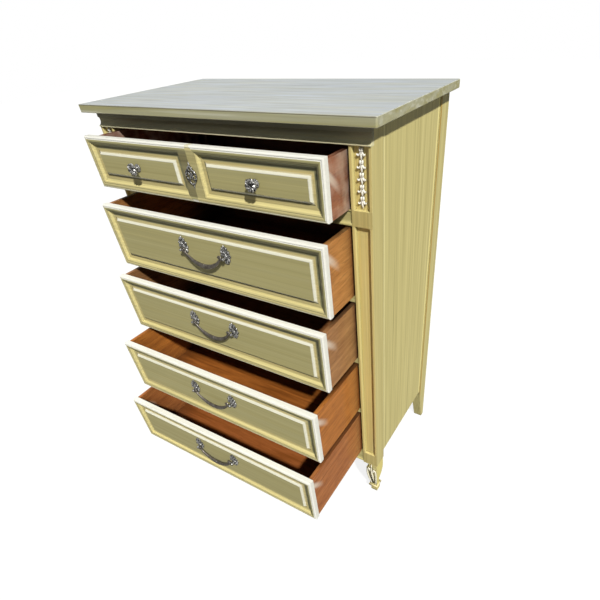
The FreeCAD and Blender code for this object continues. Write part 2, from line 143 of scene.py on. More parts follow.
# The painted case: posts, side panels, rails and cornice. Cream-green paint went on first, then a
# darker glaze was dragged over it with a dry brush, along each board, and wiped off the arrises.
millimetre = 0.001


def maths(tree, operation, first, second=0.0):
    return place_node(tree, "ShaderNodeMath", {0: first, 1: second}, operation=operation).outputs[0]


def blend_colour(tree, share, first, second):
    mixed = place_node(tree, "ShaderNodeMix", {0: share, 6: first, 7: second}, data_type="RGBA")
    return mixed.outputs[2]


def between(tree, value, low, high, start=0.0, end=1.0):
    """Turns a value that runs from low to high into one that runs from start to end."""
    spread = place_node(tree, "ShaderNodeMapRange", {"Value": value, "From Min": low, "From Max": high,
                                                     "To Min": start, "To Max": end})
    return spread.outputs[0]


def new_group(name, inputs, outputs):
    tree = bpy.data.node_groups.new(name, "ShaderNodeTree")
    for label, kind in inputs:
        tree.interface.new_socket(label, in_out="INPUT", socket_type="NodeSocket" + kind)
    for label, kind in outputs:
        tree.interface.new_socket(label, in_out="OUTPUT", socket_type="NodeSocket" + kind)
    return tree, tree.nodes.new("NodeGroupInput").outputs, tree.nodes.new("NodeGroupOutput")


def make_streaks():
    """Long brush marks: position times grain is fine across the board and slow along it."""
    tree, given, result = new_group("dragged glaze", [("Position", "Vector"), ("Grain", "Vector")],
                                    [("Fine", "Float"), ("Broad", "Float"), ("Bold", "Float")])
    stretched = place_node(tree, "ShaderNodeVectorMath", {0: given["Position"], 1: given["Grain"]},
                           operation="MULTIPLY").outputs[0]
    wide = place_node(tree, "ShaderNodeVectorMath", {0: stretched, "Scale": 0.27},
                      operation="SCALE").outputs[0]
    for label, place, detail in (("Fine", stretched, 3), ("Broad", wide, 2)):
        marks = place_node(tree, "ShaderNodeTexNoise", {"Vector": place, "Scale": 1, "Detail": detail,
                                                        "Roughness": 0.6})
        tree.links.new(between(tree, marks.outputs[0], 0.32, 0.68), result.inputs[label])
    near = place_node(tree, "ShaderNodeVectorMath", {0: stretched, "Scale": 0.55},
                      operation="SCALE").outputs[0]
    lines = place_node(tree, "ShaderNodeTexNoise", {"Vector": near, "Scale": 1, "Detail": 1})
    tree.links.new(between(tree, lines.outputs[0], 0.56, 0.66), result.inputs["Bold"])
    return tree


def make_hollows():
    """How deep in a corner or groove a place lies, from 0 in the open to 1. Materials darken there by it,
    partly for glaze and partly as painted shade.
    """
    tree, given, result = new_group("glaze and painted shade in hollows", [("Reach", "Float")], [("Depth", "Float")])
    open_air = place_node(tree, "ShaderNodeAmbientOcclusion", {"Distance": given["Reach"]}, samples=6)
    depth = between(tree, open_air.outputs["AO"], 0.85, 0.35)
    tree.links.new(depth, result.inputs["Depth"])
    return tree


def make_arrises():
    """Where an outer edge lies, and the surface direction with that edge eased by the radius."""
    tree, given, result = new_group("eased arrises", [("Radius", "Float")],
                                    [("Edge", "Float"), ("Normal", "Vector")])
    eased = place_node(tree, "ShaderNodeBevel", {"Radius": given["Radius"]}, samples=4)
    flat = place_node(tree, "ShaderNodeNewGeometry")
    along = place_node(tree, "ShaderNodeVectorMath", {0: eased.outputs[0], 1: flat.outputs["Normal"]},
                       operation="DOT_PRODUCT").outputs["Value"]
    tree.links.new(between(tree, along, 0.995, 0.86), result.inputs["Edge"])
    tree.links.new(eased.outputs[0], result.inputs["Normal"])
    return tree


def make_directions():
    """How squarely a face looks along each axis of the chest, from 0 below Low to 1 above High."""
    tree, given, result = new_group("facing", [("Low", "Float"), ("High", "Float")],
                                    [("X", "Float"), ("Y", "Float"), ("Z", "Float")])
    away = place_node(tree, "ShaderNodeTexCoord").outputs["Normal"]
    parts = place_node(tree, "ShaderNodeSeparateXYZ", {0: away}).outputs
    for axis in "XYZ":
        squarely = between(tree, maths(tree, "ABSOLUTE", parts[axis]), given["Low"], given["High"])
        tree.links.new(squarely, result.inputs[axis])
    return tree


streaks = make_streaks()
hollows = make_hollows()
arrises = make_arrises()
directions = make_directions()
cream_green = shade(213, 201, 134)
brush_glaze = shade(160, 146, 84)
pale_streak = shade(226, 214, 146)
# Dark glaze, also laid in hollows and corners as painted shade.
hollow_glaze_and_shade = shade(70, 64, 42)
arris_cream = shade(236, 226, 160)
upright_grain = (230, 230, 2.6)
level_grain = (1.6, 210, 210)


def facing(tree, axis, low, high):
    inputs = {"Low": low, "High": high}
    return place_node(tree, "ShaderNodeGroup", inputs, node_tree=directions).outputs[axis]


def laid(tree, share, part, below, above):
    """Lays one colour over another, by a share of a mask."""
    return blend_colour(tree, maths(tree, "MULTIPLY", share, part), below, above)


def brushed(name, grain, roughness=0.42, wear=0.0012):
    """A material with the sheen and the fine ridges that a brush leaves, and no colour yet."""
    look = bpy.data.materials.new(name)
    look.use_nodes = True
    tree = look.node_tree
    body = tree.nodes["Principled BSDF"]
    place = place_node(tree, "ShaderNodeTexCoord").outputs["Object"]
    marks = place_node(tree, "ShaderNodeGroup", {"Position": place, "Grain": grain},
                       node_tree=streaks).outputs
    edge = place_node(tree, "ShaderNodeGroup", {"Radius": wear}, node_tree=arrises).outputs
    tree.links.new(between(tree, marks["Fine"], 0, 1, roughness, roughness + 0.12),
                   body.inputs["Roughness"])
    relief = place_node(tree, "ShaderNodeBump", {"Height": marks["Fine"], "Strength": 0.12,
                                                 "Distance": 0.0004, "Normal": edge["Normal"]})
    tree.links.new(relief.outputs[0], body.inputs["Normal"])
    body.inputs["Coat Weight"].default_value = 0.15
    body.inputs["Coat Roughness"].default_value = 0.3
    return look, marks, edge


def painted(name, ground, glaze, grain, arris=arris_cream, amount=0.42, roughness=0.42,
            reach=0.006, pale=pale_streak, other=None, other_axis="Y", wear=0.0012):
    """A material with one ground colour, dragged glaze, wiped arrises, and hollows darkened partly by
    glaze and partly as painted shade. Faces that look along the other axis can have another ground colour."""
    look, marks, edge = brushed(name, grain, roughness, wear)
    tree = look.node_tree
    deep = place_node(tree, "ShaderNodeGroup", {"Reach": reach}, node_tree=hollows).outputs
    colour = ground
    if other:
        colour = blend_colour(tree, facing(tree, other_axis, 0.6, 0.8), ground, other)
    colour = laid(tree, marks["Fine"], amount, colour, glaze)
    colour = laid(tree, marks["Broad"], amount, colour, pale)
    colour = laid(tree, marks["Bold"], 0.7 * amount, colour, arris)
    colour = laid(tree, edge["Edge"], 0.7, colour, arris)
    colour = laid(tree, deep["Depth"], 0.75, colour, hollow_glaze_and_shade)
    tree.links.new(colour, tree.nodes["Principled BSDF"].inputs["Base Color"])
    return look


def finish_nodes(look, names):
    for name in names:
        for slot in frame["nodes"][name].material_slots:
            slot.material = look


upright_paint = painted("case_paint_upright", shade(222, 210, 142), shade(140, 126, 70), upright_grain,
                        amount=0.55, wear=0.0024)
post_paint = painted("post_paint", cream_green, shade(140, 122, 72), upright_grain,
                     other=shade(222, 204, 130), pale=shade(232, 216, 146), reach=0.003, wear=0.002)
rail_paint = painted("rail_paint", shade(200, 188, 128), brush_glaze, level_grain)
# The cornice's wide reach for hollows paints in the shade that the top's overhang casts on it.
cornice_paint = painted("cornice_paint", shade(246, 243, 208), shade(190, 184, 144), level_grain,
                        reach=0.034)


def position(tree):
    """How far a place lies from the middle of the chest, across, back and up."""
    place = place_node(tree, "ShaderNodeTexCoord").outputs["Object"]
    return place_node(tree, "ShaderNodeSeparateXYZ", {0: place}).outputs


def overlaid(look, share, colour):
    """Lays one more colour over the finished one, by its share."""
    base = look.node_tree.nodes["Principled BSDF"].inputs["Base Color"]
    covered = blend_colour(look.node_tree, share, base.links[0].from_socket, colour)
    look.node_tree.links.new(covered, base)


def make_board_joints():
    """Dark and pale lines down the joints of post and panel, and darker squares beside the rails."""
    tree, given, result = new_group("board joints", [("Paint", "Color")], [("Paint", "Color")])
    place = position(tree)
    sideways, forward = facing(tree, "X", 0.8, 0.95), facing(tree, "Y", 0.8, 0.95)
    front_joint, rear_joint = [corner.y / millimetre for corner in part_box("right_side_panel")]
    colour = given["Paint"]
    for middle, half, line in ((front_joint, 3, shade(158, 140, 76)),
                               (front_joint + 8, 4.5, shade(244, 234, 168)),
                               (rear_joint - 8, 6, shade(248, 236, 164)),
                               (rear_joint + 4, 6, shade(184, 150, 70))):
        off = maths(tree, "ABSOLUTE", maths(tree, "SUBTRACT", place["Y"], middle * millimetre))
        share = between(tree, off, 0.6 * half * millimetre, half * millimetre, 1, 0)
        colour = laid(tree, share, sideways, colour, line)
    for low, high in (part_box("waist_rail"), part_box("bottom_rail")):
        off = maths(tree, "ABSOLUTE", maths(tree, "SUBTRACT", place["Z"], (low.z + high.z) / 2))
        half = (high.z - low.z) / 2
        share = between(tree, off, half, half + 2 * millimetre, 0.3, 0)
        colour = laid(tree, share, forward, colour, shade(150, 136, 84))
    tree.links.new(colour, result.inputs["Paint"])
    return tree


board_joints = make_board_joints()
for look in (upright_paint, post_paint):
    tree = look.node_tree
    base = tree.nodes["Principled BSDF"].inputs["Base Color"]
    joined = place_node(tree, "ShaderNodeGroup", {"Paint": base.links[0].from_socket},
                        node_tree=board_joints)
    tree.links.new(joined.outputs["Paint"], base)
cornice_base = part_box("cornice_moulding")[0].z
# Painted shade: the cornice darkens upward from its bead, under the top's overhang.
shade_under_top = between(cornice_paint.node_tree, position(cornice_paint.node_tree)["Z"],
                   cornice_base + 3 * millimetre, cornice_base + 20 * millimetre, 0, 0.6)
overlaid(cornice_paint, shade_under_top, hollow_glaze_and_shade)
finish_nodes(upright_paint, ["left_rear_post", "right_rear_post", "left_side_panel",
                             "right_side_panel"])
finish_nodes(post_paint, ["left_front_post", "right_front_post"])
finish_nodes(cornice_paint, ["cornice_moulding"])
finish_nodes(rail_paint, ["waist_rail", "bottom_rail"])
finish_nodes(rail_paint, ["divider_rail_%d" % number for number in (1, 2, 3)])


# The top. One board with a hard coat and brush marks along it. Its edges are cream-green like the case,
# white with wear on the arris, with a dark line just under it. Its upward face is cream-green too, but
# painted pale blue-grey: a painted reflection of the sky in the hard coat.
top_look = painted("top_paint", shade(178, 172, 116), shade(134, 132, 104), (6, 90, 210), amount=0.5,
                   arris=shade(226, 226, 208), roughness=0.3, pale=shade(204, 206, 188),
                   other=shade(219, 228, 240), other_axis="Z")
tree = top_look.node_tree
top_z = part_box("table_top")[1].z
rim_line = between(tree, position(tree)["Z"], top_z - 3 * millimetre, top_z - 2 * millimetre)
overlaid(top_look, maths(tree, "MULTIPLY", rim_line, facing(tree, "Y", 0.5, 0.9)), shade(118, 114, 92))
finish_nodes(top_look, ["table_top"])


# The hidden carcass wood: runners, guides, rear rails and the rails behind the cornice are planed
# softwood, and the back is a thin brown board. None of it was ever painted.
def make_figure():
    """Wood figure that is slow along the grain: growth bands and short dark pores."""
    tree, given, result = new_group("wood figure", [("Position", "Vector"), ("Grain", "Vector")],
                                    [("Bands", "Float"), ("Pores", "Float")])
    stretched = place_node(tree, "ShaderNodeVectorMath", {0: given["Position"], 1: given["Grain"]},
                           operation="MULTIPLY").outputs[0]
    bands = place_node(tree, "ShaderNodeTexNoise", {"Vector": stretched, "Scale": 1, "Detail": 4,
                                                    "Distortion": 0.8})
    close = place_node(tree, "ShaderNodeVectorMath", {0: stretched, "Scale": 7}, operation="SCALE")
    pores = place_node(tree, "ShaderNodeTexNoise", {"Vector": close.outputs[0], "Scale": 1, "Detail": 2})
    tree.links.new(between(tree, bands.outputs[0], 0.3, 0.7), result.inputs["Bands"])
    tree.links.new(between(tree, pores.outputs[0], 0.52, 0.7), result.inputs["Pores"])
    return tree


figure = make_figure()
wood_shadow = shade(24, 16, 10)


def timber(name, pale, dark, pore, grain, roughness=0.5, gloss=0.1, shade_share=0.85, worn_and_lit_edge=None):
    """A bare or lacquered wood with painted shade in its deep places, and pale on its edges, partly from
    wear and partly as a painted highlight.
    """
    look = bpy.data.materials.new(name)
    look.use_nodes = True
    tree = look.node_tree
    body = tree.nodes["Principled BSDF"]
    place = place_node(tree, "ShaderNodeTexCoord").outputs["Object"]
    wood = place_node(tree, "ShaderNodeGroup", {"Position": place, "Grain": grain},
                      node_tree=figure).outputs
    edge = place_node(tree, "ShaderNodeGroup", {"Radius": 0.001}, node_tree=arrises).outputs
    # Painted shade: deep places, such as the inside of a drawer box, darken towards wood_shadow.
    inside = place_node(tree, "ShaderNodeGroup", {"Reach": 0.15}, node_tree=hollows).outputs
    colour = blend_colour(tree, wood["Bands"], pale, dark)
    colour = laid(tree, wood["Pores"], 0.6, colour, pore)
    colour = laid(tree, edge["Edge"], 0.7, colour, worn_and_lit_edge or pale)
    colour = laid(tree, inside["Depth"], shade_share, colour, wood_shadow)
    tree.links.new(colour, body.inputs["Base Color"])
    tree.links.new(between(tree, wood["Bands"], 0, 1, roughness, roughness + 0.1),
                   body.inputs["Roughness"])
    relief = place_node(tree, "ShaderNodeBump", {"Height": wood["Pores"], "Strength": 0.15,
                                                 "Distance": 0.0003, "Normal": edge["Normal"]})
    tree.links.new(relief.outputs[0], body.inputs["Normal"])
    body.inputs["Coat Weight"].default_value = gloss
    return look


softwood = timber("runner_wood", shade(196, 160, 112), shade(170, 130, 84), shade(120, 84, 50),
                  (90, 6, 90))
brown_board = timber("back_board", shade(150, 116, 78), shade(126, 94, 60), shade(90, 64, 40),
                     (70, 70, 5))
finish_nodes(softwood, ["left_runners", "right_runners", "left_guides", "right_guides",
                        "rear_rails", "top_rear_rail", "top_front_rail"])
finish_nodes(brown_board, ["back_panel"])


# The drawer boxes: thin lacquered hardwood sides and back, and a plywood bottom slid in from
# behind. The boards differ: the top drawer's are dark, red and hazy, the third one's have greyed.
# Near each front top corner a painted reflection, a slanting streak of white light, crosses the sides.
def make_glint_and_haze():
    """A painted reflection, a slanting white streak below the front top corner, and a cloudy haze by its
    own amount.
    """
    tree, given, result = new_group("painted glint and haze", [("Front", "Float"), ("Top", "Float"),
                                                       ("Haze", "Float")], [("Whitened", "Float")])
    place = place_node(tree, "ShaderNodeTexCoord").outputs["Object"]
    back = maths(tree, "SUBTRACT", position(tree)["Y"], given["Front"])
    up = maths(tree, "SUBTRACT", position(tree)["Z"], given["Top"])
    slant = maths(tree, "ADD", up, maths(tree, "MULTIPLY", back, 0.9))
    off = maths(tree, "ABSOLUTE", maths(tree, "ADD", slant, 30 * millimetre))
    line = between(tree, off, 5 * millimetre, 18 * millimetre, 0.85, 0)
    glint = maths(tree, "MULTIPLY", line, between(tree, back, 4 * millimetre, 50 * millimetre, 1, 0))
    cloud = place_node(tree, "ShaderNodeTexNoise", {"Vector": place, "Scale": 30, "Detail": 3})
    cloud_haze = maths(tree, "MULTIPLY", between(tree, cloud.outputs[0], 0.35, 0.7), given["Haze"])
    whitened = maths(tree, "MULTIPLY", maths(tree, "MAXIMUM", glint, cloud_haze), facing(tree, "X", 0.8, 0.95))
    tree.links.new(whitened, result.inputs["Whitened"])
    return tree


glint_and_haze = make_glint_and_haze()


def drawer_wood(number, pale, dark, pore, inner, haze=0.0):
    name = "drawer_%d_" % number
    # The sides' orange edges are partly wear and partly a painted highlight along the rounded top.
    sides = timber(name + "side_wood", pale, dark, pore, (70, 5, 70), 0.4, 0.25,
                   worn_and_lit_edge=shade(204, 122, 62))
    low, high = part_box(name + "right_side")
    glinted = place_node(sides.node_tree, "ShaderNodeGroup", {"Front": low.y, "Top": high.z, "Haze": haze},
                         node_tree=glint_and_haze)
    overlaid(sides, glinted.outputs["Whitened"], shade(236, 222, 204))
    # The backs and bottoms take darker colours than the sides, partly painted shade for the inside of the
    # box.
    ends = timber(name + "end_wood", inner, dark, pore, (5, 70, 70), 0.4, 0.25)
    finish_nodes(sides, [name + "left_side", name + "right_side"])
    finish_nodes(ends, [name + "back", name + "bottom"])


drawer_wood(1, shade(178, 116, 86), shade(150, 90, 64), shade(112, 62, 42), shade(118, 66, 46), 0.3)
drawer_wood(2, shade(214, 150, 84), shade(180, 118, 60), shade(126, 76, 36), shade(136, 82, 40))
drawer_wood(3, shade(190, 138, 88), shade(156, 108, 66), shade(112, 72, 40), shade(140, 84, 42))
drawer_wood(4, shade(206, 130, 56), shade(168, 100, 40), shade(120, 66, 24), shade(118, 66, 22))
drawer_wood(5, shade(200, 128, 70), shade(164, 96, 48), shade(114, 62, 28), shade(124, 68, 24))


# The drawer fronts: solid boards with a moulded edge and a raised field in a sunk frame. The outer edges
# and the field's bevels are white, the sunk flat is yellow-green, and the moulding between them is cream.
# Along the upper and right sides the moulding and the edge of the sunk flat are painted in shade, along
# the lower and left sides painted lit, and the hollows are darkened partly by glaze and partly as painted
# shade.
front_half_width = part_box("drawer_1_front")[1].x
band = 13 * millimetre
stile_half = 25.5 * millimetre
panel_reach = 32 * millimetre
white_edge = shade(249, 249, 240)
shaded_white_edge = shade(240, 236, 206)
shaded_bead = shade(178, 172, 120)
bead_cream = shade(222, 208, 148)
quirk_olive = shade(196, 184, 126)
groove_olive = shade(112, 104, 72)
shaded_groove = shade(82, 80, 58)
shaded_ogee = shade(92, 94, 70)
ogee_cream = shade(230, 216, 150)
quirk_tan = shade(176, 160, 104)
recess_tan = shade(218, 200, 136)
recess_edge = shade(222, 200, 134)
recess_pale = shade(232, 220, 174)
bevel_grey = shade(226, 226, 210)
bevel_white = shade(238, 237, 222)
bevel_shadow = shade(84, 78, 54)
field_green = shade(186, 177, 121)
field_glaze = shade(150, 141, 92)
field_worn = shade(196, 192, 146)


def make_frame_lines():
    """How far a place lies inside the front's rim and inside the frame of its panel, and whether the
    nearest piece of that frame is its lower or left one."""
    tree, given, result = new_group(
        "frame lines",
        [("Position", "Vector"), ("Middle Height", "Float"), ("Half Width", "Float"),
         ("Half Height", "Float"), ("Panel Middle", "Float"), ("Panel Half Width", "Float"),
         ("Band", "Float")],
        [("From Rim", "Float"), ("From Frame", "Float"), ("Lower", "Float")])
    part = place_node(tree, "ShaderNodeSeparateXYZ", {0: given["Position"]}).outputs
    across = maths(tree, "ABSOLUTE", part["X"])
    up = maths(tree, "ABSOLUTE", maths(tree, "SUBTRACT", part["Z"], given["Middle Height"]))
    side = maths(tree, "SUBTRACT", given["Half Width"], across)
    end = maths(tree, "SUBTRACT", given["Half Height"], up)
    tree.links.new(maths(tree, "MINIMUM", side, end), result.inputs["From Rim"])
    off = maths(tree, "SUBTRACT", across, given["Panel Middle"])
    side = maths(tree, "SUBTRACT", given["Panel Half Width"], maths(tree, "ABSOLUTE", off))
    end = maths(tree, "SUBTRACT", end, given["Band"])
    tree.links.new(maths(tree, "MINIMUM", side, end), result.inputs["From Frame"])
    # The lower and left pieces of the frame take the colours painted lit, the upper and right ones those
    # painted in shade.
    upright = maths(tree, "LESS_THAN", side, end)
    to_left = maths(tree, "LESS_THAN", maths(tree, "MULTIPLY", off, part["X"]), 0)
    below = maths(tree, "LESS_THAN", part["Z"], given["Middle Height"])
    lower = place_node(tree, "ShaderNodeMix", {0: upright, 2: below, 3: to_left})
    tree.links.new(lower.outputs[0], result.inputs["Lower"])
    return tree


frame_lines = make_frame_lines()


def colour_stops(tree, value, reach, stops):
    """Colours laid out over the reach. The stops are (millimetres, colour)."""
    node = place_node(tree, "ShaderNodeValToRGB", {"Fac": maths(tree, "DIVIDE", value, reach)})
    elements = node.color_ramp.elements
    while len(elements) < len(stops):
        elements.new(1)
    for element, (distance, colour) in zip(elements, stops):
        element.position = distance * millimetre / reach
        element.color = colour
    return node.outputs["Color"]


def make_moulding_colours():
    """The colours of the rim, moulding, sunk frame, bevel and field, from the outside in. Along the upper
    and right sides the bead, groove, ogee and the edge of the sunk flat are painted in shade; along the
    lower and left sides the outer edge is painted in shade, the ogee painted lit, and a painted shadow
    lies at the foot of the bevel.
    """
    tree, given, result = new_group(
        "moulding colours", [("From Rim", "Float"), ("From Frame", "Float"), ("Lower", "Float")],
        [("Colour", "Color")])
    rim = colour_stops(tree, given["From Rim"], band, [
        (0, white_edge), (6.8, white_edge), (7.4, shaded_bead), (12.7, shaded_bead), (13, groove_olive)])
    lower_rim = colour_stops(tree, given["From Rim"], band, [
        (0, shaded_white_edge), (4.5, shaded_white_edge), (5.2, bead_cream), (8, ogee_cream), (12, bead_cream),
        (13, quirk_olive)])
    panel = colour_stops(tree, given["From Frame"], panel_reach, [
        (0, groove_olive), (2.4, shaded_groove), (6, shaded_ogee), (15.4, shaded_ogee),
        (17.4, recess_tan), (22, recess_edge), (23, recess_pale), (24.9, recess_pale),
        (25.6, bevel_grey), (30, bevel_grey), (30.7, field_green)])
    lower_panel = colour_stops(tree, given["From Frame"], panel_reach, [
        (0, groove_olive), (1.4, ogee_cream), (9.6, ogee_cream), (11.5, quirk_tan), (12.4, recess_tan),
        (19.4, recess_tan), (20.2, bevel_shadow), (22.8, bevel_shadow), (23.6, bevel_white),
        (28.8, bevel_white), (29.5, field_green)])
    within = maths(tree, "GREATER_THAN", given["From Frame"], 0)
    colour = blend_colour(tree, within, blend_colour(tree, given["Lower"], rim, lower_rim),
                          blend_colour(tree, given["Lower"], panel, lower_panel))
    tree.links.new(colour, result.inputs["Colour"])
    return tree


moulding_colours = make_moulding_colours()


def front_look(number):
    """The paint of one drawer front. The top drawer's has two panels with a stile between them."""
    look, marks, _ = brushed("drawer_%d_front_paint" % number, level_grain)
    tree = look.node_tree
    low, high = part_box("drawer_%d_front" % number)
    panel_middle, panel_half = 0, front_half_width - band
    if number == 1:
        panel_middle = (front_half_width - band + stile_half) / 2
        panel_half = (front_half_width - band - stile_half) / 2
    lines = place_node(tree, "ShaderNodeGroup", {
        "Position": place_node(tree, "ShaderNodeTexCoord").outputs["Object"],
        "Middle Height": (low.z + high.z) / 2, "Half Width": front_half_width,
        "Half Height": (high.z - low.z) / 2, "Panel Middle": panel_middle,
        "Panel Half Width": panel_half, "Band": band}, node_tree=frame_lines).outputs
    ground = place_node(tree, "ShaderNodeGroup", {
        label: lines[label] for label in ("From Rim", "From Frame", "Lower")},
        node_tree=moulding_colours).outputs["Colour"]
    whiteness = place_node(tree, "ShaderNodeSeparateColor", {0: ground}).outputs["Blue"]
    glaze_share = between(tree, whiteness, 0.3, 0.7, 0.5, 0.12)
    worn_share = between(tree, whiteness, 0.3, 0.7, 0.3, 0)
    deep = place_node(tree, "ShaderNodeGroup", {"Reach": 0.004}, node_tree=hollows).outputs
    colour = laid(tree, marks["Fine"], glaze_share, ground, field_glaze)
    colour = laid(tree, marks["Broad"], worn_share, colour, field_worn)
    colour = laid(tree, deep["Depth"], 0.6, colour, hollow_glaze_and_shade)
    tree.links.new(colour, tree.nodes["Principled BSDF"].inputs["Base Color"])
    return look


for number in range(1, 6):
    finish_nodes(front_look(number), ["drawer_%d_front" % number])


# The husk drops: five carved bellflowers one below the other, glued into each upper post. Each has
# a parted bud, a long ridged middle petal and two side petals that curl away. White, dark between.
def smooth_run(points, steps=6):
    """More points on the smooth curve through the given ones, all of whose values are blended."""
    run = []
    last = len(points) - 1
    for index in range(last):
        before, start = points[max(index - 1, 0)], points[index]
        end, after = points[index + 1], points[min(index + 2, last)]
        for step in range(steps):
            t = step / steps
            weights = (-t * (1 - t) ** 2 / 2, (2 - 5 * t * t + 3 * t ** 3) / 2,
                       (t + 4 * t * t - 3 * t ** 3) / 2, -t * t * (1 - t) / 2)
            row = zip(before, start, end, after)
            run.append([sum(w * v for w, v in zip(weights, values)) for values in row])
    run.append(list(points[-1]))
    return run


def add_rings(shape, rings):
    """Skins a row of point rings and closes both ends."""
    made = [[shape.verts.new(point) for point in ring] for ring in rings]
    for first, second in zip(made, made[1:]):
        for index in range(len(first)):
            after = (index + 1) % len(first)
            shape.faces.new((first[index], first[after], second[after], second[index]))
    shape.faces.new(list(reversed(made[0])))
    shape.faces.new(made[-1])


def add_leaf(shape, place, points, crest, sunk=0.6):
    """A ridged leaf; its points are (across, up, out, half width) along the middle, in mm."""
    run = smooth_run(points, 4)
    rings = []
    for index, (across, up, out, wide) in enumerate(run):
        ahead, behind = run[min(index + 1, len(run) - 1)], run[max(index - 1, 0)]
        way = Vector((ahead[0] - behind[0], ahead[1] - behind[1])).normalized()
        side = Vector((way.y, -way.x))
        section = [(-1, -sunk), (-1, 0), (-0.6, 0.55 * crest), (-0.25, 0.7 * crest), (0, crest),
                   (0.25, 0.7 * crest), (0.6, 0.55 * crest), (1, 0), (1, -sunk)]
        height = min(1, wide / max(crest, 0.1))
        rings.append([place(across + side.x * k * wide, up + side.y * k * wide,
                            out + rise * (height if rise > 0 else 1)) for k, rise in section])
    add_rings(shape, rings)


def finished(name, shape, look, body, level=1):
    """Turns the built shape into a piece that rides on its body."""
    bmesh.ops.recalc_face_normals(shape, faces=shape.faces)
    mesh = bpy.data.meshes.new(name)
    shape.to_mesh(mesh)
    shape.free()
    mesh.materials.append(look)
    for face in mesh.polygons:
        face.use_smooth = True
    piece = bpy.data.objects.new(name, mesh)
    bpy.context.scene.collection.objects.link(piece)
    if level:
        piece.modifiers.new("soften", "SUBSURF").levels = level
        piece.modifiers["soften"].render_levels = level
    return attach(piece, body)


carving_white = shade(248, 246, 234)
carving_glaze = shade(150, 140, 92)
carving_look = painted("carving_paint", carving_white, carving_glaze, upright_grain,
                       arris=shade(254, 253, 246), amount=0.12, pale=carving_white, reach=0.004)
husk_count = 5
husk_lap = 3.5 * millimetre
for name in ("left_husk_drop", "right_husk_drop"):
    low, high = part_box(name)
    middle_x = (low.x + high.x) / 2
    husk_pitch = (high.z - low.z - husk_lap) / husk_count
    shape = bmesh.new()
    for number in range(husk_count):
        top_z = high.z - number * husk_pitch

        def on_post(across, up, out):
            return Vector((middle_x + across * millimetre, high.y - out * millimetre,
                           top_z + up * millimetre))

        for hand in (-1, 1):
            add_leaf(shape, on_post, [(hand * 1.9, 0, 1.5, 1.6), (hand * 2.4, -2, 3.0, 2.8),
                                      (hand * 2.3, -5.4, 3.4, 2.9), (hand * 1.4, -9.4, 2.2, 1.7)],
                     2.6, 3.0)
            add_leaf(shape, on_post, [(hand * 1.2, -8.4, 1.5, 1.6), (hand * 3.4, -12.6, 2.4, 2.3),
                                      (hand * 6.6, -15.6, 3.6, 2.2), (hand * 9.2, -14.2, 4.8, 1.5),
                                      (hand * 9.0, -12.0, 5.0, 0.7)], 1.9, 3.6)
        add_leaf(shape, on_post, [(0, -7.6, 2.0, 1.6), (0, -12, 2.6, 2.6), (0, -18, 2.8, 3.0),
                                  (0, -24, 1.6, 1.6), (0, -27.6, 0.4, 0.6)], 3.4, 2.0)
    husks = finished(name + "_carved", shape, carving_look, "case")
    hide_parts(name)


# The front feet: solid square feet sawn to a hooked curve. On the front face a pair of scrolls grows out
# of the neck like a lyre and curls over under the block, with a leaf between them, white over a dark
# ground that is partly glaze and partly painted shade. A bevelled collar runs round the ankle. The outer
# side is plain and pale.
def add_rod(shape, place, points, sides=10, steps=4, squash=1.0):
    """A round rod of changing thickness; its points are (across, up, out, radius), in mm."""
    run = smooth_run(points, steps)
    centres = [place(across, up, out) for across, up, out, _ in run]
    rings = []
    for index, centre in enumerate(centres):
        ahead, behind = centres[min(index + 1, len(run) - 1)], centres[max(index - 1, 0)]
        way = (ahead - behind).normalized()
        away = (place(0, 0, 1) - place(0, 0, 0)).normalized()
        side = way.cross(away).normalized()
        front = side.cross(way)
        radius = run[index][3] * millimetre
        turns = [2 * math.pi * turn / sides for turn in range(sides)]
        rings.append([centre + side * radius * math.cos(turn) + front * radius * squash * math.sin(turn)
                      for turn in turns])
    add_rings(shape, rings)


foot_look = painted("foot_paint", shade(240, 226, 138), shade(206, 186, 100), upright_grain,
                    other=shade(206, 194, 132), amount=0.25, reach=0.012)
scroll_look = painted("scroll_paint", shade(250, 247, 228), shade(196, 184, 128), upright_grain,
                      arris=shade(254, 253, 246), amount=0.25, reach=0.004)
collar_look = painted("collar_paint", shade(240, 228, 176), shade(196, 170, 104), level_grain,
                      amount=0.35, reach=0.004)
scroll_runs = [
    [(20.0, 40, 0.6, 2.2), (15.0, 57, 1.2, 3.4), (8.6, 78, 1.6, 4.0), (5.0, 98, 1.8, 4.2),
     (5.0, 114, 1.8, 4.2), (9.4, 125, 2.2, 4.2), (14.8, 122.5, 2.6, 3.6), (14.4, 114.5, 2.8, 2.8)],
    [(36.6, 40, 0.6, 2.2), (38.4, 58, 1.2, 3.3), (38.6, 80, 1.6, 3.8), (38.2, 100, 1.8, 4.0),
     (36.6, 114, 1.8, 4.0), (32.0, 121, 2.2, 4.0), (27.4, 117.6, 2.6, 3.4), (28.6, 110, 2.8, 2.6)],
]
